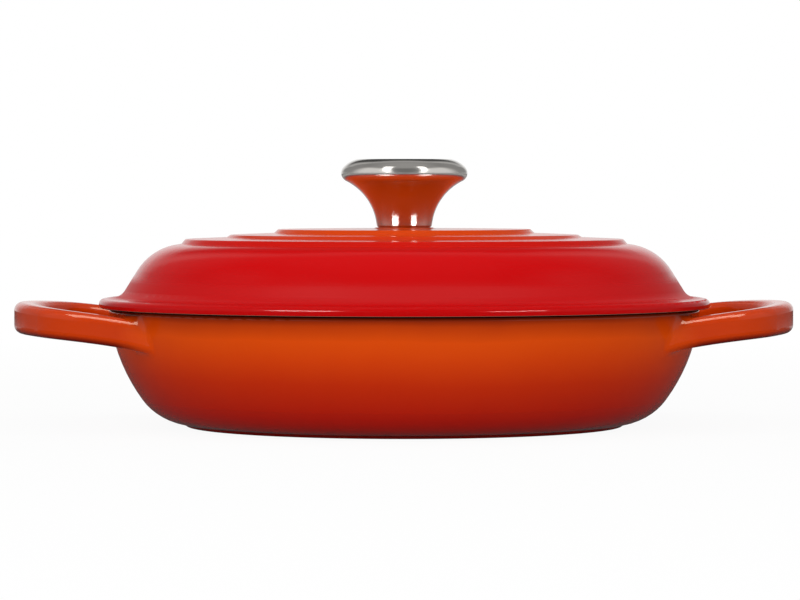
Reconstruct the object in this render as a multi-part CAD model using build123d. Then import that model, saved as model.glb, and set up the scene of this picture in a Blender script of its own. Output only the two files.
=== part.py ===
from build123d import *
import os
from math import acos, asin, atan2, copysign, cos, degrees, hypot, radians, sin, sqrt, tan

# A shallow enamelled iron casserole with its lid on: a round pan cast in one piece with its two
# loop handles, a lid with three rings on its crown, and a hollow steel knob held by a screw from
# below. Millimetres. The pan stands on Z = 0 round the Z axis, with its handles along X.

# Bowl of the pan
rim_radius = 110.0
rim_height = 44.0
wall = 3.6
rim_lean_deg = 4.2
side_round = 66.0
heel_round = 22.0
rim_outer_round = 1.6
rim_inner_round = 0.8

# Foot ring under the pan
foot_height = 0.85
foot_outset = 1.8
foot_width = 7.5
foot_round = 0.6

# Loop handles, seen from above
handle_reach = 34.8
handle_half_width = 54.0
handle_end_round = 85.0
handle_corner_round = 24.0
handle_bar = 9.2
leg_flare_round = 20.0
gap_corner_round = 5.0
leg_bury = 4.0

# Loop handles, seen from the side, between a place inside the bowl and the outer end
handle_inset = 25.0
handle_root_drop = 5.5
handle_root_depth = 11.5
handle_lift = 7.9
handle_end_depth = 11.7
handle_top_bow = 0.9
handle_under_bow = 1.8
handle_edge_round = 3.0
handle_root_round = 4.0

# Rim of the lid: the flange that rests on the pan, and the lip that centres it
flange_overhang = 3.5
flange_edge = 3.15
flange_width = 8.15
flange_fall_deg = 6.0
flange_top_round = 1.9
flange_under_round = 0.5
flange_cove = 5.5
lip_gap = 0.9
lip_thickness = 2.6
lip_drop = 2.4
lip_round = 0.8
lip_cove = 3.0

# Dome of the lid, from the flange to the foot of the outermost ring
lid_wall = 3.5
side_lean_deg = 31.7
shoulder_rise = 23.58
shoulder_width = 22.35
shoulder_fall_deg = 5.9
shoulder_round = 21.0
ceiling_rise = 25.9

# Rings on the crown, from the outermost inwards: the rise of each step and the flat inside it
ring_step_width = 1.5
ring_step_rises = (1.8, 0.95, 1.4)
ring_flat_widths = (15.3, 16.2)
ring_flat_rise = 0.65
ring_top_round = 1.0
ring_foot_round = 0.5
crown_rise = 0.2

# Seats of the knob on the crown and of the washer under it
boss_radius = 10.6
boss_spread = 1.0
boss_rise = 0.5
boss_round = 0.3
pad_radius = 11.0
pad_spread = 1.5
pad_drop = 0.6

# Knob shell: a trumpet that rolls over a round edge and a shoulder to a flat top
knob_radius = 23.5
knob_height = 25.3
knob_edge_drop = 5.1
knob_edge_round = 3.3
knob_shoulder_round = 9.7
knob_top_inset = 6.0
knob_neck_radius = 10.15
knob_flare_round = 20.8
knob_sheet = 1.5
knob_foot_wall = 1.75
knob_foot_round = 0.9

# Disc let into the knob's top, with one plain turned groove
cap_thickness = 1.6
cap_ledge = 1.6
cap_gap = 0.04
cap_edge_round = 0.15
groove_inset = 4.5
groove_width = 1.0
groove_depth = 0.25

# Threaded insert in the knob's neck
insert_flange = 2.7
insert_recess = 0.3
insert_height = 10.7
insert_wall = 2.5
insert_gap = 0.02
thread_gap = 0.05

# Screw and washer under the lid
screw_radius = 3.0
screw_length = 14.0
screw_tip_chamfer = 0.6
hole_gap = 0.25
head_radius = 7.5
head_height = 2.6
head_round = 1.2
slot_width = 1.6
slot_depth = 1.2
washer_radius = 7.0
washer_thickness = 1.2

# How far a cutting shape runs past what it cuts
overrun = 5.0

# Where the arcs of the bowl meet: the side is tangent to the heel, and the heel to the floor
rim_lean = radians(rim_lean_deg)
side_centre = (rim_radius - side_round * cos(rim_lean), rim_height + side_round * sin(rim_lean))
heel_height = foot_height + heel_round
knee_deg = degrees(asin((side_centre[1] - heel_height) / (side_round - heel_round)))
heel_radius = side_centre[0] + (side_round - heel_round) * cos(radians(knee_deg))
mouth_radius = side_centre[0] + sqrt((side_round - wall) ** 2 - (side_centre[1] - rim_height) ** 2)

# Circle inside the wall on which the handles' roots end
root_radius = rim_radius - leg_bury

# Radii and heights that the lid and the knob share with the pan
flange_radius = rim_radius + flange_overhang
side_foot_radius = flange_radius - flange_width
side_foot_height = rim_height + flange_edge + flange_width * tan(radians(flange_fall_deg))
lip_radius = mouth_radius - lip_gap
ring_radius = side_foot_radius - shoulder_width
crown_height = (
    rim_height + shoulder_rise + sum(ring_step_rises) + ring_flat_rise * len(ring_flat_widths) + crown_rise
)
knob_seat = crown_height + boss_rise
ceiling_height = rim_height + ceiling_rise
pad_height = ceiling_height - pad_drop
head_seat = pad_height - washer_thickness
hole_radius = screw_radius + hole_gap

# Where the arcs of the knob meet: the flare is tangent to the edge, and the edge to the shoulder
knob_top = knob_seat + knob_height
knob_top_radius = knob_radius - knob_top_inset
edge_centre = (knob_radius - knob_edge_round, knob_top - knob_edge_drop)
flare_radius = knob_neck_radius + knob_flare_round
flare_reach = knob_flare_round + knob_edge_round
flare_centre = (flare_radius, edge_centre[1] - sqrt(flare_reach**2 - (flare_radius - edge_centre[0]) ** 2))
flare_end_deg = degrees(atan2(edge_centre[1] - flare_centre[1], edge_centre[0] - flare_radius))
rim_run = hypot(knob_top_radius - edge_centre[0], knob_edge_drop)
shoulder_reach = knob_shoulder_round - knob_edge_round
shoulder_turn = (knob_shoulder_round**2 - shoulder_reach**2 - rim_run**2) / (2 * shoulder_reach * rim_run)
shoulder_start_deg = degrees(atan2(knob_edge_drop, knob_top_radius - edge_centre[0]) - acos(shoulder_turn))
knob_bore_radius = knob_neck_radius - knob_foot_wall
knob_floor = knob_seat + insert_recess + insert_flange
cap_seat = knob_top - cap_thickness


def point_on(centre, radius, angle_deg):
    """The point of a circle at an angle from the direction away from the axis."""
    turn = radians(angle_deg)
    return (centre[0] + radius * cos(turn), centre[1] + radius * sin(turn))


def turned(outline):
    """The solid that an outline makes, drawn with its radius across and its height up."""
    return revolve(Plane.XZ * outline, Axis.Z)


def block(inner, outer, bottom, top):
    """A rectangle in a turned outline, between two radii and two heights."""
    return Pos(inner, bottom) * Rectangle(outer - inner, top - bottom, align=(Align.MIN, Align.MIN))


def bowl_outline(inset, top):
    """Half the bowl's section inside a wall of the given inset, up to the given height."""
    start_deg = degrees(asin((top - side_centre[1]) / (side_round - inset)))
    with BuildSketch() as section:
        with BuildLine():
            side = CenterArc(side_centre, side_round - inset, start_deg, -knee_deg - start_deg)
            heel = CenterArc((heel_radius, heel_height), heel_round - inset, -knee_deg, knee_deg - 90)
            Polyline(heel @ 1, (0, foot_height + inset), (0, top), side @ 0)
        make_face()
    return section.sketch


def handle_plan(inset, flare):
    """A handle or its finger gap seen from above, filled in, from the bowl to its crowned end.

    The flare is the radius of the arcs that end on the circle inside the bowl's wall. Above zero
    they spread the legs outwards, and below zero they round the corners of the gap.
    """
    end_centre = (rim_radius + handle_reach - handle_end_round, 0)
    corner_y = handle_half_width - handle_corner_round
    corner_run = sqrt((handle_end_round - handle_corner_round) ** 2 - corner_y**2)
    corner_x = end_centre[0] + corner_run
    turn_deg = degrees(atan2(corner_y, corner_run))
    flare_y = handle_half_width - inset + flare
    flare_x = sqrt((root_radius + abs(flare)) ** 2 - flare_y**2)
    meet_deg = degrees(atan2(flare_y, flare_x))
    side_deg = copysign(90, flare)
    with BuildSketch() as plan:
        with BuildLine():
            CenterArc(end_centre, handle_end_round - inset, -turn_deg, 2 * turn_deg)
            left = CenterArc((corner_x, corner_y), handle_corner_round - inset, turn_deg, 90 - turn_deg)
            right = CenterArc((corner_x, -corner_y), handle_corner_round - inset, -turn_deg, turn_deg - 90)
            left_root = CenterArc((flare_x, flare_y), abs(flare), -side_deg, meet_deg - side_deg)
            right_root = CenterArc((flare_x, -flare_y), abs(flare), side_deg, side_deg - meet_deg)
            Line(left @ 1, left_root @ 0)
            Line(right @ 1, right_root @ 0)
            if flare > 0:
                Line(left_root @ 1, right_root @ 1)
            else:
                CenterArc((0, 0), root_radius, -meet_deg, 2 * meet_deg)
        make_face()
    return plan.sketch


def handle():
    """The loop on the +X side: its plan cut from a bowed slab that rises outwards."""
    root = rim_radius - handle_inset
    end = rim_radius + handle_reach
    root_top = rim_height - handle_root_drop
    end_top = root_top + handle_lift
    with BuildSketch() as side_view:
        with BuildLine():
            top = SagittaArc((root, root_top), (end, end_top), handle_top_bow)
            under_start = (root, root_top - handle_root_depth)
            under = SagittaArc(under_start, (end, end_top - handle_end_depth), handle_under_bow)
            Line(top @ 0, under @ 0)
            Line(top @ 1, under @ 1)
        make_face()
    slab = extrude(Plane.XZ * side_view.sketch, handle_half_width + leg_flare_round, both=True)
    bar = handle_plan(0, leg_flare_round) - handle_plan(handle_bar, -gap_corner_round)
    loop = slab & extrude(bar, end_top + overrun)
    rims = loop.edges().filter_by(Axis.Z, reverse=True).filter_by(Axis.Y, reverse=True)
    return fillet(rims, handle_edge_round)


def pan():
    """Bowl, foot ring and both handles as one casting."""
    blank = turned(bowl_outline(0, rim_height + overrun))
    right = handle()
    left = right.mirror(Plane.YZ)
    iron = blank + right + left
    roots = new_edges(blank, right, left, combined=iron)
    iron = fillet(roots, handle_root_round)

    wall_section = bowl_outline(0, rim_height) - bowl_outline(wall, rim_height)
    mouth = wall_section.vertices().group_by(Axis.Y)[-1].sort_by(Axis.X)[0]
    wall_section = fillet(mouth, rim_inner_round)
    outside = wall_section.vertices().group_by(Axis.Y)[-1].sort_by(Axis.X)[-1]
    wall_section = fillet(outside, rim_outer_round)
    above = block(0, rim_radius + overrun / 2, rim_height - rim_outer_round, rim_height + 2 * overrun)
    room = bowl_outline(wall, rim_height + overrun) + above - wall_section
    iron -= turned(room)

    foot_radius = heel_radius + foot_outset
    foot = block(foot_radius - foot_width, foot_radius, 0, foot_height + wall / 2)
    foot = fillet(foot.vertices().group_by(Axis.Y)[0], foot_round)
    return iron + turned(foot)


def roof_corner(inset):
    """Where the lid's side and the line over its shoulder meet, both moved inwards by an inset."""
    lean = tan(radians(side_lean_deg))
    fall = tan(radians(shoulder_fall_deg))
    side = side_foot_radius - inset / cos(radians(side_lean_deg))
    over = rim_height + shoulder_rise - inset / cos(radians(shoulder_fall_deg))
    height = (over - (side - ring_radius) * fall - side_foot_height * lean * fall) / (1 - lean * fall)
    return (side - (height - side_foot_height) * lean, height)


def lid_outline():
    """The lid's outer form, filled in to the axis: lip, flange, side, shoulder, rings and boss."""
    lip_bottom = rim_height - lip_drop
    corners = [
        ((lip_radius, lip_bottom), lip_round),
        ((lip_radius, rim_height), 0),
        ((flange_radius, rim_height), flange_under_round),
        ((flange_radius, rim_height + flange_edge), flange_top_round),
        ((side_foot_radius, side_foot_height), flange_cove),
        (roof_corner(0), shoulder_round),
    ]
    radius = ring_radius
    height = rim_height + shoulder_rise
    for rise, flat in zip(ring_step_rises, ring_flat_widths + (0,)):
        corners.append(((radius, height), ring_foot_round))
        corners.append(((radius - ring_step_width, height + rise), ring_top_round))
        radius -= ring_step_width + flat
        height += rise + ring_flat_rise
    corners.append(((boss_radius + boss_spread, crown_height), boss_round))
    corners.append(((boss_radius, knob_seat), boss_round))
    corners.append(((0, knob_seat), 0))
    corners.append(((0, lip_bottom), 0))
    with BuildSketch() as outline:
        with BuildLine():
            FilletPolyline([point for point, _ in corners], radius=[size for _, size in corners], close=True)
        make_face()
    return outline.sketch


def lid_hollow():
    """The space under the lid: straight inside the lip, then up the side to a wide domed ceiling."""
    centre = roof_corner(shoulder_round)
    shoulder = shoulder_round - lid_wall
    rise = ceiling_height - centre[1]
    ceiling = (centre[0] ** 2 + rise**2 - shoulder**2) / (2 * (rise - shoulder))
    ceiling_centre = (0, ceiling_height - ceiling)
    meet_deg = degrees(atan2(centre[1] - ceiling_centre[1], centre[0]))
    lean = radians(side_lean_deg)
    lip_inner = lip_radius - lip_thickness
    lip_top = side_foot_height + (side_foot_radius - lid_wall / cos(lean) - lip_inner) / tan(lean)
    floor = rim_height - lip_drop - overrun
    with BuildSketch() as outline:
        with BuildLine():
            bend = CenterArc(centre, shoulder, side_lean_deg, meet_deg - side_lean_deg)
            dome = CenterArc(ceiling_centre, ceiling, meet_deg, 90 - meet_deg)
            Polyline(bend @ 0, (lip_inner, lip_top), (lip_inner, floor), (0, floor), dome @ 1)
        make_face()
        fillet(outline.vertices().sort_by_distance((lip_inner, lip_top))[0], lip_cove)
    return outline.sketch


def lid():
    """The domed lid, with its hole for the knob's screw and a pad under it for the washer."""
    iron = turned(lid_outline()) - turned(lid_hollow())
    lip = iron.faces().sort_by(Axis.Z)[0]
    iron = fillet(lip.edges().sort_by(SortBy.LENGTH)[0], lip_round)
    pad_rise = (knob_seat - pad_height) / 2
    pad = Cone(pad_radius, pad_radius + pad_spread, pad_rise)
    iron += Pos(0, 0, pad_height + pad_rise / 2) * pad
    iron -= turned(block(0, hole_radius, pad_height - overrun, knob_seat + overrun))
    return iron


def knob_outline(inset, bottom, top):
    """Half the knob's section inside a sheet of the given inset, between two heights."""
    shoulder_centre = point_on(edge_centre, -shoulder_reach, shoulder_start_deg)
    flare_start_deg = 180 - degrees(asin((bottom - flare_centre[1]) / (knob_flare_round + inset)))
    top_deg = degrees(asin((top - shoulder_centre[1]) / (knob_shoulder_round - inset)))
    edge_start_deg = flare_end_deg - 180
    with BuildSketch() as section:
        with BuildLine():
            flare = CenterArc(
                flare_centre, knob_flare_round + inset, flare_start_deg, flare_end_deg - flare_start_deg
            )
            CenterArc(
                edge_centre, knob_edge_round - inset, edge_start_deg, shoulder_start_deg - edge_start_deg
            )
            shoulder = CenterArc(
                shoulder_centre, knob_shoulder_round - inset, shoulder_start_deg, top_deg - shoulder_start_deg
            )
            Polyline(shoulder @ 1, (0, top), (0, bottom), flare @ 0)
        make_face()
    return section.sketch


def knob_body():
    """The knob's spun shell, open at the top for its disc and at the neck for its insert."""
    outside = knob_outline(0, knob_seat, knob_top)
    foot = outside.vertices().group_by(Axis.Y)[0].sort_by(Axis.X)[-1]
    outside = fillet(foot, knob_foot_round)
    ledge = cap_seat - knob_sheet
    hollow = knob_outline(knob_sheet, knob_floor, ledge)
    hollow += block(0, knob_bore_radius, knob_seat - overrun, knob_floor)
    hollow += block(0, knob_top_radius - cap_ledge, ledge, cap_seat)
    hollow += block(0, knob_top_radius, cap_seat, knob_top + overrun)
    return turned(outside - hollow)


def knob_cap():
    """The disc in the knob's top."""
    radius = knob_top_radius - cap_gap
    groove = radius - groove_inset
    disc = block(0, radius, cap_seat, knob_top)
    rim = disc.vertices().group_by(Axis.Y)[-1].sort_by(Axis.X)[-1]
    disc = fillet(rim, cap_edge_round)
    return turned(disc - block(groove - groove_width, groove, knob_top - groove_depth, knob_top + overrun))


def knob_insert():
    """The flanged nut that fills the neck and takes the screw."""
    bore = screw_radius + thread_gap
    bottom = knob_seat + insert_recess
    flange = block(bore, knob_bore_radius - insert_gap, bottom, bottom + insert_flange)
    return turned(flange + block(bore, bore + insert_wall, bottom, bottom + insert_height))


def knob_washer():
    """The plain washer between the screw's head and the lid."""
    return turned(block(hole_radius, washer_radius, head_seat, pad_height))


def knob_screw():
    """The wide-headed slotted screw, up through the lid into the insert."""
    head = block(0, head_radius, head_seat - head_height, head_seat)
    head = fillet(head.vertices().group_by(Axis.Y)[0].sort_by(Axis.X)[-1], head_round)
    shank = block(0, screw_radius, head_seat, head_seat + screw_length)
    shank = chamfer(shank.vertices().group_by(Axis.Y)[-1].sort_by(Axis.X)[-1], screw_tip_chamfer)
    slot = Pos(0, 0, head_seat - head_height) * Box(2 * head_radius + overrun, slot_width, 2 * slot_depth)
    return turned(head + shank) - slot


if __name__ == "__main__":
    os.makedirs("parts", exist_ok=True)
    for make in (pan, lid, knob_body, knob_cap, knob_insert, knob_screw, knob_washer):
        piece = make()
        piece.label = make.__name__
        export_step(piece, f"parts/{make.__name__}.step")
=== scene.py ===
import bpy
from math import cos, radians, sin, tan
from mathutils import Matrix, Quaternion, Vector


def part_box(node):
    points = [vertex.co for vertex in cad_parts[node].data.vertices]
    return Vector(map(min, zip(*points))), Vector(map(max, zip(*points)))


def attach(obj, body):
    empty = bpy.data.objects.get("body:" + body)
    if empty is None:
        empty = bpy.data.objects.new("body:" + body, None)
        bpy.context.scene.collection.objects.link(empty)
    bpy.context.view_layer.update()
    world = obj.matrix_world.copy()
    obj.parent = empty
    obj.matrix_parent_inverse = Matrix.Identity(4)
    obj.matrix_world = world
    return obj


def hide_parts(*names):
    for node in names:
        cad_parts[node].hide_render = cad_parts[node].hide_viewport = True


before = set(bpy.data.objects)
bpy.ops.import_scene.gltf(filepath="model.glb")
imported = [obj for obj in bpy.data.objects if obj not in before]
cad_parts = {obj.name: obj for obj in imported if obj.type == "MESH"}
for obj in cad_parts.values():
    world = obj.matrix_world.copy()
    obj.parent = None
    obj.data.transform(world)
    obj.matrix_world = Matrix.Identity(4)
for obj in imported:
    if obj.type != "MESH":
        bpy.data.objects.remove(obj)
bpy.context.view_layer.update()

# The pan is cast in iron in one piece with its two loop handles. Outside it is enamelled orange,
# running to deep red at the foot, and just under the rim it is darkened to brown as a painted
# shadow of the lid's flange. Inside it is sand. The bare rim shows the black ground coat, and the
# foot ring is ground flat so that the pan stands.
pan_rim_radius = 0.110
pan_rim_height = 0.044
pan_inside_radii = (pan_rim_radius - 0.0012, pan_rim_radius - 0.0016)
pan_inside_facing = (-0.02, 0.02)
bare_rim_heights = (pan_rim_height - 0.0007, pan_rim_height - 0.0004)
bare_rim_radii = (pan_rim_radius - 0.0004, pan_rim_radius - 0.0009)
foot_land_heights = (0.0001, 0.0)
handle_root_radii = (0.107, 0.118)
handle_underside_facing = (-0.25, -0.8)
pan_red = (188, 28, 13)
pan_red_orange = (200, 47, 7)
pan_deep_orange = (217, 67, 6)
pan_orange = (229, 80, 6)
# These four colours under the rim are painted shadow of the lid's flange, not a change in the
# enamel.
lid_shadow_orange = (194, 63, 5)
lid_shadow_red = (158, 46, 5)
lid_shadow_brown = (118, 29, 7)
lid_shadow_deepest = (104, 24, 8)
handle_orange = (198, 57, 4)
# The handles' faces that turn down get this darker colour as painted shade.
handle_painted_shade = (104, 14, 4)
pan_gloss_index = 1.33
pan_roughness = 0.08
rim_dulling = 0.15
land_dulling = 0.5
pan_colour_drift = 0.10
steady_edge_levels = (1.0, 0.9)
cloud_scale = 28.0
cloud_dulling = 0.05
wave_scale = 55.0
wave_height = 0.00012
peel_scale = 900.0
peel_height = 0.0000045
sand_enamel = (214, 198, 168)
sand_speck = (120, 96, 66)
sand_dulling = 0.10
speck_scale = 1400.0
speck_levels = (0.66, 0.72)
speck_strength = 0.25
ground_coat = (34, 24, 23)
ground_iron = (92, 74, 68)
grit_scale = 2200.0


def linear(red, green, blue):
    """A colour of 0 to 255 a channel as the renderer counts light."""
    shares = [channel / 255 for channel in (red, green, blue)]
    return (*[s / 12.92 if s < 0.04 else ((s + 0.055) / 1.055) ** 2.4 for s in shares], 1.0)


class Signal:
    """What comes out of a node. Sums and products of signals add Math nodes to the same finish."""

    def __init__(self, finish, socket):
        self.finish = finish
        self.socket = socket

    def __add__(self, other):
        return self.finish.math("ADD", self, other)

    def __sub__(self, other):
        return self.finish.math("SUBTRACT", self, other)

    def __rsub__(self, other):
        return self.finish.math("SUBTRACT", other, self)

    def __mul__(self, other):
        return self.finish.math("MULTIPLY", self, other)

    def __truediv__(self, other):
        return self.finish.math("DIVIDE", self, other)

    def __pow__(self, other):
        return self.finish.math("POWER", self, other)

    __radd__ = __add__
    __rmul__ = __mul__


class Finish:
    """The nodes of one material, or of the room's light."""

    def __init__(self, owner):
        owner.use_nodes = True
        self.owner = owner
        self.tree = owner.node_tree

    def node(self, kind, settings, inputs, output=0):
        """Adds a node: its settings first, then the values or links of its sockets."""
        made = self.tree.nodes.new(kind)
        for name, value in settings.items():
            if name == "stops":
                self.set_stops(made.color_ramp, value)
            else:
                setattr(made, name, value)
        for name, value in inputs.items():
            self.feed(made.inputs[name], value)
        return Signal(self, made.outputs[output])

    def feed(self, socket, value):
        """Links a signal to a socket, or sets the socket to a plain value."""
        if isinstance(value, Signal):
            self.tree.links.new(value.socket, socket)
        else:
            socket.default_value = value

    def set_stops(self, ramp, stops):
        """Gives a colour ramp its stops, each a place from 0 to 1 and a colour."""
        while len(ramp.elements) < len(stops):
            ramp.elements.new(1.0)
        for element, (place, colour) in zip(ramp.elements, stops):
            element.position = place
            element.color = linear(*colour)

    def math(self, operation, first, second=0.0):
        """One sum of two signals or numbers."""
        return self.node("ShaderNodeMath", {"operation": operation}, {0: first, 1: second})

    def vector_math(self, operation, first, second=(0.0, 0.0, 0.0), output=0):
        inputs = {0: first, 1: second}
        return self.node("ShaderNodeVectorMath", {"operation": operation}, inputs, output)

    def rise(self, signal, start, end):
        """0 at start, 1 at end and a straight line between."""
        ends = {"Value": signal, "From Min": start, "From Max": end}
        return self.node("ShaderNodeMapRange", {"clamp": True}, ends)

    def mix(self, share, first, second):
        """The first colour where the share is 0, and the second where it is 1."""
        colours = {0: share, 6: first, 7: second}
        return self.node("ShaderNodeMix", {"data_type": "RGBA"}, colours, output=2)

    def ramp(self, level, stops):
        """The colour of the stops at a level from 0 to 1."""
        return self.node("ShaderNodeValToRGB", {"stops": stops}, {"Fac": level})

    def noise(self, place, scale, detail=3.0):
        inputs = {"Vector": place, "Scale": scale, "Detail": detail}
        return self.node("ShaderNodeTexNoise", {}, inputs)

    def parts(self, vector):
        """The three numbers of a vector."""
        inputs = {"Vector": vector}
        return [self.node("ShaderNodeSeparateXYZ", {}, inputs, output=axis) for axis in range(3)]

    def spot(self):
        """Where a point lies on its piece, its distance from the pan's axis, and its height."""
        place = self.node("ShaderNodeTexCoord", {}, {}, output="Object")
        across, deep, height = self.parts(place)
        return place, (across**2.0 + deep**2.0) ** 0.5, height

    def outward(self):
        """How far the surface faces away from the pan's axis, and how far it faces up."""
        place = self.node("ShaderNodeTexCoord", {}, {}, output="Object")
        facing = self.node("ShaderNodeTexCoord", {}, {}, output="Normal")
        level = self.vector_math("MULTIPLY", place, (1.0, 1.0, 0.0))
        away = self.vector_math("NORMALIZE", level)
        out = self.vector_math("DOT_PRODUCT", facing, away, output="Value")
        return out, self.parts(facing)[2]

    def surface(self, **values):
        """Sets the sockets of the material's own shader to plain values or to signals."""
        shader = self.tree.nodes["Principled BSDF"]
        for name, value in values.items():
            self.feed(shader.inputs[name.replace("_", " ")], value)


def enamel_skin(finish, place):
    """The bump of fired enamel: long waves from the casting, and the fine peel of the glaze."""
    waves = finish.noise(place, wave_scale, detail=2.0)
    peel = finish.noise(place, peel_scale, detail=2.0)
    soft = finish.node("ShaderNodeBump", {}, {"Height": waves, "Distance": wave_height})
    fine = {"Height": peel, "Distance": peel_height, "Normal": soft}
    return finish.node("ShaderNodeBump", {}, fine)


def sand_coat(finish, place):
    """The enamel of the insides: sand, with fine darker specks."""
    specks = finish.rise(finish.noise(place, speck_scale, detail=1.0), *speck_levels)
    return finish.mix(specks * speck_strength, linear(*sand_enamel), linear(*sand_speck))


def dress(node, finish):
    """Gives a CAD node its finish."""
    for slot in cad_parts[node].material_slots:
        slot.material = finish.owner


pan_finish = Finish(bpy.data.materials.new("pan_coats"))
place, radius, height = pan_finish.spot()
out, up = pan_finish.outward()
clouds = pan_finish.noise(place, cloud_scale)
level = pan_finish.rise(height, 0.0, pan_rim_height)
drift = (clouds - 0.5) * pan_colour_drift * pan_finish.rise(level, *steady_edge_levels)
# The top stops darken the coat from orange to brown as a painted shadow under the lid's flange.
bowl_coat = pan_finish.ramp(
    level + drift,
    [
        (0.15, pan_red),
        (0.45, pan_red_orange),
        (0.66, pan_deep_orange),
        (0.8, pan_orange),
        (0.92, lid_shadow_orange),
        (0.955, lid_shadow_red),
        (0.98, lid_shadow_brown),
        (1.0, lid_shadow_deepest),
    ],
)
# Painted shade: the handles darken where they face down.
handle_shade_share = pan_finish.rise(up, *handle_underside_facing)
handle_coat = pan_finish.mix(handle_shade_share, linear(*handle_orange), linear(*handle_painted_shade))
on_handle = pan_finish.rise(radius, *handle_root_radii)
outer_coat = pan_finish.mix(on_handle, bowl_coat, handle_coat)
facing_in = pan_finish.rise(up - out, *pan_inside_facing)
within = facing_in * pan_finish.rise(radius, *pan_inside_radii)
colour = pan_finish.mix(within, outer_coat, sand_coat(pan_finish, place))
near_rim = pan_finish.rise(height, *bare_rim_heights)
on_rim = near_rim * pan_finish.rise(radius, *bare_rim_radii)
colour = pan_finish.mix(on_rim, colour, linear(*ground_coat))
on_land = pan_finish.rise(height, *foot_land_heights)
grit = pan_finish.noise(place, grit_scale, detail=4.0)
land_colour = pan_finish.mix(grit, linear(*ground_coat), linear(*ground_iron))
colour = pan_finish.mix(on_land, colour, land_colour)
roughness = pan_roughness + clouds * cloud_dulling + within * sand_dulling
roughness = roughness + on_rim * rim_dulling + on_land * land_dulling
pan_finish.surface(Base_Color=colour, Roughness=roughness, IOR=pan_gloss_index)
pan_finish.surface(Normal=enamel_skin(pan_finish, place))
dress("pan", pan_finish)

# The lid is cast in iron and enamelled in the same way, orange at the crown and deep red over the
# side and the flange. Its underside has the sand enamel, and its lip and the flange's seat keep
# the black ground coat.
lid_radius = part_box("lid")[1].x
lid_pad_radii = (0.018, 0.022)
lid_underside_facing = (0.02, -0.02)
lid_seat_heights = (pan_rim_height + 0.0002, pan_rim_height + 0.00005)
fillet_foot_heights = (0.0474, 0.0480)
fillet_head_heights = (0.0560, 0.0530)
lid_crown_orange = (206, 63, 2)
lid_orange = (198, 44, 3)
lid_orange_red = (195, 18, 2)
lid_red = (198, 0, 3)
lid_deep_red = (185, 0, 2)
lid_gloss_index = 1.22
lid_roughness = 0.10
fillet_dulling = 0.25
seat_dulling = 0.35
lid_colour_drift = 0.05

lid_finish = Finish(bpy.data.materials.new("lid_coats"))
place, radius, height = lid_finish.spot()
out, up = lid_finish.outward()
clouds = lid_finish.noise(place, cloud_scale)
outer_coat = lid_finish.ramp(
    radius / lid_radius + (clouds - 0.5) * lid_colour_drift,
    [
        (0.42, lid_crown_orange),
        (0.6, lid_orange),
        (0.71, lid_orange_red),
        (0.79, lid_red),
        (1.0, lid_deep_red),
    ],
)
past_pad = lid_finish.rise(radius, *lid_pad_radii)
beneath = lid_finish.rise(up + out * past_pad, *lid_underside_facing)
colour = lid_finish.mix(beneath, outer_coat, sand_coat(lid_finish, place))
on_seat = lid_finish.rise(height, *lid_seat_heights)
colour = lid_finish.mix(on_seat, colour, linear(*ground_coat))
above_flange = lid_finish.rise(height, *fillet_foot_heights)
in_fillet = above_flange * lid_finish.rise(height, *fillet_head_heights)
roughness = lid_roughness + clouds * cloud_dulling + beneath * sand_dulling
roughness = roughness + in_fillet * fillet_dulling + on_seat * seat_dulling
lid_finish.surface(Base_Color=colour, Roughness=roughness, IOR=lid_gloss_index)
lid_finish.surface(Normal=enamel_skin(lid_finish, place))
dress("lid", lid_finish)

# The knob's shell is spun from stainless sheet into a flare with a rolled edge. It is polished
# bright, but for the hollow under the edge, which keeps the satin of the spinning tool.
knob_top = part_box("knob_body")[1].z
satin_foot_heights = (knob_top - 0.011, knob_top - 0.008)
satin_head_heights = (knob_top - 0.0035, knob_top - 0.0055)
knob_steel = (234, 230, 224)
knob_roughness = 0.11
knob_satin_dulling = 0.13
knob_ring_depth = 0.000001
ring_gap = 0.00016
ring_unevenness = 0.08
streak_scale = 60.0
streak_unevenness = 0.04
streak_shade = 0.94


def turned_steel(finish, colour, roughness, ring_depth):
    """Steel with the fine rings that a lathe or a spinning tool leaves round the axis."""
    place, radius, height = finish.spot()
    ring = finish.node("ShaderNodeCombineXYZ", {}, {"X": radius, "Y": height})
    lines = finish.noise(ring, 1 / ring_gap, detail=2.0)
    streaks = finish.noise(place, streak_scale, detail=2.0)
    bump = finish.node("ShaderNodeBump", {}, {"Height": lines, "Distance": ring_depth})
    shaded = linear(*[streak_shade * channel for channel in colour])
    tint = finish.mix(streaks, linear(*colour), shaded)
    uneven = (lines - 0.5) * ring_unevenness + (streaks - 0.5) * streak_unevenness
    finish.surface(Base_Color=tint, Metallic=1.0, Roughness=uneven + roughness, Normal=bump)


knob_finish = Finish(bpy.data.materials.new("knob_spun_steel"))
height = knob_finish.spot()[2]
under_edge = knob_finish.rise(height, *satin_foot_heights)
satin = knob_satin_dulling * under_edge * knob_finish.rise(height, *satin_head_heights)
turned_steel(knob_finish, knob_steel, knob_roughness + satin, knob_ring_depth)
dress("knob_body", knob_finish)

# The knob's cap is a disc turned from stainless steel. It is let into the top of the shell,
# welded round and polished over.
cap_steel = (190, 188, 184)
cap_ring_depth = 0.000004
turned_roughness = 0.28

cap_finish = Finish(bpy.data.materials.new("cap_turned_steel"))
turned_steel(cap_finish, cap_steel, turned_roughness, cap_ring_depth)
dress("knob_cap", cap_finish)

# The insert is a flanged bush turned from steel and threaded M6 for the screw. It sits fast in
# the knob's neck, out of sight once the knob is on.
insert_steel = (182, 178, 170)
insert_ring_depth = 0.000005

insert_finish = Finish(bpy.data.materials.new("insert_steel_finish"))
turned_steel(insert_finish, insert_steel, turned_roughness, insert_ring_depth)
dress("knob_insert", insert_finish)

# The washer is a plain one, stamped from steel and plated. It lies between the screw's head and
# the pad under the lid, and keeps the head off the enamel.
washer_steel = (186, 186, 184)
washer_ring_depth = 0.000003

washer_finish = Finish(bpy.data.materials.new("washer_steel_finish"))
turned_steel(washer_finish, washer_steel, turned_roughness, washer_ring_depth)
dress("knob_washer", washer_finish)

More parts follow.
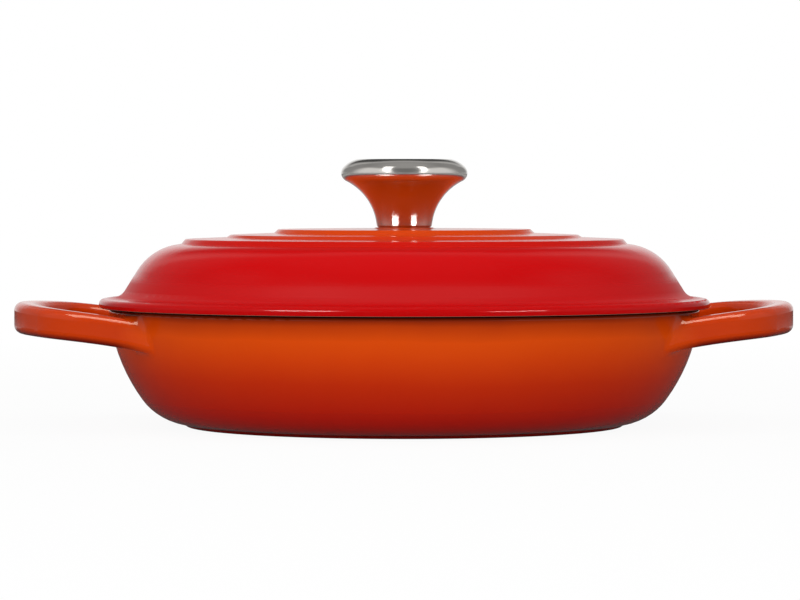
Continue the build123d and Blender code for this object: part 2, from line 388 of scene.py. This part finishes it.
# The screw that holds the knob from under the lid is a plated steel one with a wide low head, a
# slot for a coin or a driver, and an M6 thread rolled along its whole shank.
screw_low, screw_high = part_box("knob_screw")
head_radius = screw_high.x
head_height = 0.0026
head_middle = screw_low.z + head_height / 2
head_seat = screw_low.z + head_height
head_round = 0.0012
head_round_steps = 8
head_facets = 128
slot_width = 0.0016
slot_depth = 0.0012
thread_radius = 0.003
thread_pitch = 0.001
thread_depth = 0.61 * thread_pitch
thread_root = thread_radius - thread_depth
root_flat = 0.25 * thread_pitch
flank = 0.3125 * thread_pitch
crest_flat = 0.125 * thread_pitch
thread_start = head_seat - 1.183 * thread_pitch
thread_steps = 40
spare_turns = 2
thread_rooting = 0.0001
joined_within = 0.000001
cut_within = 0.0000001
screw_steel = (188, 186, 178)
screw_ring_depth = 0.000003
sharp_angle = radians(35)


def start_editing(piece, mode):
    """Opens a mesh for editing with nothing selected."""
    bpy.ops.object.select_all(action="DESELECT")
    bpy.context.view_layer.objects.active = piece
    piece.select_set(True)
    bpy.ops.object.mode_set(mode="EDIT")
    bpy.ops.mesh.select_mode(type=mode)
    bpy.ops.mesh.select_all(action="DESELECT")


def choose_edges(piece, wanted):
    """Selects the edges whose two ends are both wanted, in an open mesh."""
    bpy.ops.object.mode_set(mode="OBJECT")
    places = [piece.matrix_world @ point.co for point in piece.data.vertices]
    for edge in piece.data.edges:
        edge.select = all(wanted(places[end]) for end in edge.vertices)
    bpy.ops.object.mode_set(mode="EDIT")


bpy.ops.object.select_all(action="DESELECT")
bpy.ops.mesh.primitive_cylinder_add(
    vertices=head_facets, radius=head_radius, depth=head_height, location=(0, 0, head_middle)
)
screw_head = bpy.context.object
start_editing(screw_head, "EDGE")
choose_edges(screw_head, lambda point: point.z < head_middle)
bpy.ops.mesh.bevel(offset=head_round, segments=head_round_steps, affect="EDGES")
bpy.ops.object.mode_set(mode="OBJECT")
bpy.ops.mesh.primitive_cube_add(
    size=1.0, location=(0, 0, screw_low.z), scale=(3 * head_radius, slot_width, 2 * slot_depth)
)
slot_tool = bpy.context.object
slot = screw_head.modifiers.new("slot", "BOOLEAN")
slot.operation = "DIFFERENCE"
slot.object = slot_tool
bpy.context.view_layer.objects.active = screw_head
bpy.ops.object.modifier_apply(modifier="slot")
bpy.data.objects.remove(slot_tool)

bpy.ops.object.select_all(action="DESELECT")
bpy.ops.mesh.primitive_plane_add(size=thread_pitch, location=(thread_root, 0, thread_start))
thread = bpy.context.object
start_editing(thread, "VERT")
bpy.ops.mesh.select_all(action="SELECT")
bpy.ops.mesh.merge(type="CENTER")
profile = ((0, root_flat), (thread_depth, flank), (0, crest_flat), (-thread_depth, flank))
for across, along in profile:
    bpy.ops.mesh.extrude_region_move(TRANSFORM_OT_translate={"value": (across, 0, along)})
bpy.ops.object.mode_set(mode="OBJECT")
bpy.ops.object.transform_apply(location=True, rotation=True, scale=True)
winding = thread.modifiers.new("winding", "SCREW")
winding.axis = "Z"
winding.screw_offset = thread_pitch
winding.iterations = round((screw_high.z - head_seat) / thread_pitch) + spare_turns
winding.steps = thread_steps
winding.render_steps = thread_steps
winding.use_smooth_shade = False
bpy.ops.object.modifier_apply(modifier="winding")
start_editing(thread, "VERT")
bpy.ops.mesh.select_all(action="SELECT")
bpy.ops.mesh.remove_doubles(threshold=joined_within)
thread_ends = ((head_seat - thread_rooting, (0, 0, -1)), (screw_high.z, (0, 0, 1)))
for cut_height, normal in thread_ends:
    bpy.ops.mesh.select_all(action="SELECT")
    bpy.ops.mesh.bisect(
        plane_co=(0, 0, cut_height),
        plane_no=normal,
        use_fill=True,
        clear_outer=True,
        threshold=cut_within,
    )
bpy.ops.mesh.select_all(action="SELECT")
bpy.ops.mesh.normals_make_consistent(inside=False)
bpy.ops.object.mode_set(mode="OBJECT")

bpy.ops.object.select_all(action="DESELECT")
thread.select_set(True)
screw_head.select_set(True)
bpy.context.view_layer.objects.active = screw_head
bpy.ops.object.join()
screw = bpy.context.object
screw.name = "lid_screw"
bpy.ops.object.transform_apply(location=True, rotation=True, scale=True)
bpy.ops.object.shade_smooth_by_angle(angle=sharp_angle)
screw_finish = Finish(bpy.data.materials.new("screw_plated_steel"))
turned_steel(screw_finish, screw_steel, turned_roughness, screw_ring_depth)
screw.data.materials.append(screw_finish.owner)
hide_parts("knob_screw")
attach(screw, "screw")

# The camera stands in front of the pan with a long lens, turned two degrees from square to the
# handles. It is level with the knob and looks down by less than two degrees.
camera_distance = 1.41
camera_height = 0.0876
camera_turn = radians(2.0)
camera_drop = radians(1.665)
camera_lens = 170.29
camera_reach = 100.0
axis_offset = 0.0016

camera_data = bpy.data.cameras.new("photo_camera")
camera_data.lens = camera_lens
camera_data.clip_end = camera_reach
camera = bpy.data.objects.new("photo_camera", camera_data)
bpy.context.scene.collection.objects.link(camera)
bpy.context.scene.camera = camera
towards = Vector((sin(camera_turn), cos(camera_turn), 0))
sideways = Vector((cos(camera_turn), -sin(camera_turn), 0))
camera.location = Vector((0, 0, camera_height)) - towards * camera_distance
fall = Vector((0, 0, camera_distance * tan(camera_drop)))
aim = towards * camera_distance - sideways * axis_offset - fall
camera.rotation_euler = aim.to_track_quat("-Z", "Y").to_euler()

# Two wide soft boxes, one overhead and one in front, light everything and aren't mirrored. The
# others are only seen mirrored: two tall strips in the knob, two small boxes in the lid, and a
# warm one overhead in the pan's handles.
lamp_distance = 1.2
front_fill_distance = 1.3
strip_lean = 14.0
warm_white = (1.0, 0.93, 0.72)


def softbox(name, size, azimuth, elevation, watts, mirrored=True, distance=lamp_distance, lean=0.0):
    """A flat lamp that faces the pan, turned round the axis from the camera's side of the table."""
    lamp = bpy.data.lights.new(name, "AREA")
    lamp.shape = "RECTANGLE"
    lamp.size, lamp.size_y = size
    lamp.energy = watts
    box = bpy.data.objects.new(name, lamp)
    bpy.context.scene.collection.objects.link(box)
    turn = radians(azimuth) - camera_turn
    lift = radians(elevation)
    away = Vector((sin(turn) * cos(lift), -cos(turn) * cos(lift), sin(lift)))
    leaning = Quaternion((0, 0, 1), radians(lean))
    box.location = away * distance + Vector((0, 0, pan_rim_height))
    box.rotation_euler = (away.to_track_quat("Z", "Y") @ leaning).to_euler()
    box.visible_camera = False
    box.visible_glossy = mirrored
    box.visible_diffuse = not mirrored
    return box


def shine_on(group, boxes, nodes):
    """Lets some boxes light only these CAD nodes."""
    lit_nodes = bpy.data.collections.new(f"shining_{group}")
    for node in nodes:
        lit_nodes.objects.link(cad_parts[node])
    for box in boxes:
        box.light_linking.receiver_collection = lit_nodes


softbox("overhead_fill", (1.4, 1.0), azimuth=-12, elevation=75, watts=7.0, mirrored=False)
softbox(
    "front_fill",
    (1.2, 0.8),
    azimuth=-6,
    elevation=28,
    watts=6.0,
    mirrored=False,
    distance=front_fill_distance,
)
knob_left = softbox(
    "knob_left", (0.28, 1.9), azimuth=-36, elevation=38, watts=2.8, lean=strip_lean
)
knob_right = softbox(
    "knob_right", (0.23, 1.9), azimuth=41, elevation=38, watts=2.3, lean=-strip_lean
)
shine_on("knob", [knob_left, knob_right], ["knob_body", "knob_cap", "knob_insert"])
lid_left = softbox("lid_left", (0.5, 0.35), azimuth=-38, elevation=24, watts=18.0)
lid_right = softbox("lid_right", (0.4, 0.35), azimuth=41, elevation=24, watts=14.0)
shine_on("lid", [lid_left, lid_right], ["lid"])
handle_light = softbox("handle_light", (1.5, 0.7), azimuth=0, elevation=69, watts=38.0)
handle_light.data.color = warm_white
shine_on("handles", [handle_light], ["pan"])

# The room is white to the eye. What shines mirrors it darker, as a studio hung with greys: dim
# behind the camera and in the rear corners, pale at the sides and right behind the pan, with a
# dark band high up there.
front_wall = 118
front_corner = 122
side_wall = 226
rear_corner = 146
rear_wall = 142
rear_middle = 240
high_wall = 132
high_wall_lift = (0.7, 0.9)
dark_band = 72
dark_band_side = (0.95, 0.985)
dark_band_foot = (0.22, 0.4)
dark_band_head = (0.85, 0.7)
ceiling = 158
ceiling_lift = (0.8, 0.95)
white = 255
room_fill = 0.5


def grey(level):
    """A grey of 0 to 255 as a colour."""
    return (level, level, level)


def looking(finish):
    """Three signals, each 1 where the camera, a mirror or a clear piece is looking, and else 0."""
    kinds = ("Camera", "Glossy", "Transmission")
    return [finish.node("ShaderNodeLightPath", {}, {}, output=f"Is {kind} Ray") for kind in kinds]


room = bpy.data.worlds.new("white_room")
bpy.context.scene.world = room
room.cycles.sampling_method = "NONE"
room_light = Finish(room)
facing = room_light.node("ShaderNodeTexCoord", {}, {}, output="Generated")
along, deep, lift = room_light.parts(facing)
rearward = deep / (along**2.0 + deep**2.0) ** 0.5 * 0.5 + 0.5
walls = room_light.ramp(
    rearward,
    [
        (0.0, grey(front_wall)),
        (0.04, grey(front_corner)),
        (0.14, grey(side_wall)),
        (0.5, grey(side_wall)),
        (0.72, grey(rear_corner)),
        (0.93, grey(rear_wall)),
        (0.985, grey(rear_middle)),
    ],
)
in_high_wall = room_light.rise(lift, *high_wall_lift)
walls = room_light.mix(in_high_wall, walls, linear(*grey(high_wall)))
in_band = room_light.rise(rearward, *dark_band_side) * room_light.rise(lift, *dark_band_foot)
in_band = in_band * room_light.rise(lift, *dark_band_head)
walls = room_light.mix(in_band, walls, linear(*grey(dark_band)))
in_ceiling = room_light.rise(lift, *ceiling_lift)
walls = room_light.mix(in_ceiling, walls, linear(*grey(ceiling)))
by_camera, by_mirror, by_glass = looking(room_light)
mirrored = by_mirror + by_glass
seen = by_camera + mirrored
background = room_light.tree.nodes["Background"]
room_colour = room_light.mix(mirrored, linear(*grey(white)), walls)
room_light.feed(background.inputs["Color"], room_colour)
room_light.feed(background.inputs["Strength"], seen + (1.0 - seen) * room_fill)

# The table is white and matt, wide enough to have no edge in sight. It glows where the eye sees
# it, so that it runs into the room and keeps a faint shadow. To mirrors it glows instead in painted
# grey bands, dark near the pan as a painted shadow and then pale and dim rings as painted
# reflections, and the pan mirrors those bands.
table_size = 40.0
table_paint = 222
table_roughness = 0.9
table_mirrored_shadow = 76
table_mirrored_pale = 180
table_mirrored_dim = 84
table_mirrored_far = 240
bands_per_metre = 0.2
glow_near = 0.94
glow_gain = 0.06
glow_distances = (0.15, 0.8)

bpy.ops.object.select_all(action="DESELECT")
bpy.ops.mesh.primitive_plane_add(size=table_size, location=(0, 0, 0))
table = bpy.context.object
table.name = "white_table"
table_top = Finish(bpy.data.materials.new("white_table_top"))
table_top.surface(Base_Color=linear(*grey(table_paint)), Roughness=table_roughness)
distance = table_top.spot()[1]
# What mirrors see of the table is painted: a dark ring round the pan as its shadow, then pale and
# dim bands.
painted_table_reflection = table_top.ramp(
    distance * bands_per_metre,
    [
        (0.07, grey(table_mirrored_shadow)),
        (0.10, grey(table_mirrored_pale)),
        (0.19, grey(table_mirrored_pale)),
        (0.24, grey(table_mirrored_dim)),
        (0.32, grey(table_mirrored_dim)),
        (1.0, grey(table_mirrored_far)),
    ],
)
by_camera, by_mirror, by_glass = looking(table_top)
glow_colour = table_top.mix(by_camera, painted_table_reflection, linear(*grey(white)))
glow = table_top.node("ShaderNodeEmission", {}, {"Color": glow_colour, "Strength": 1.0})
lit = Signal(table_top, table_top.tree.nodes["Principled BSDF"].outputs[0])
seen_glow = glow_near + glow_gain * table_top.rise(distance, *glow_distances)
share = by_camera * seen_glow + by_mirror + by_glass
blend = table_top.node("ShaderNodeMixShader", {}, {0: share, 1: lit, 2: glow})
table_top.feed(table_top.tree.nodes["Material Output"].inputs["Surface"], blend)
table_top.owner.cycles.emission_sampling = "NONE"
table.data.materials.append(table_top.owner)

bpy.context.scene.view_settings.view_transform = "Standard"
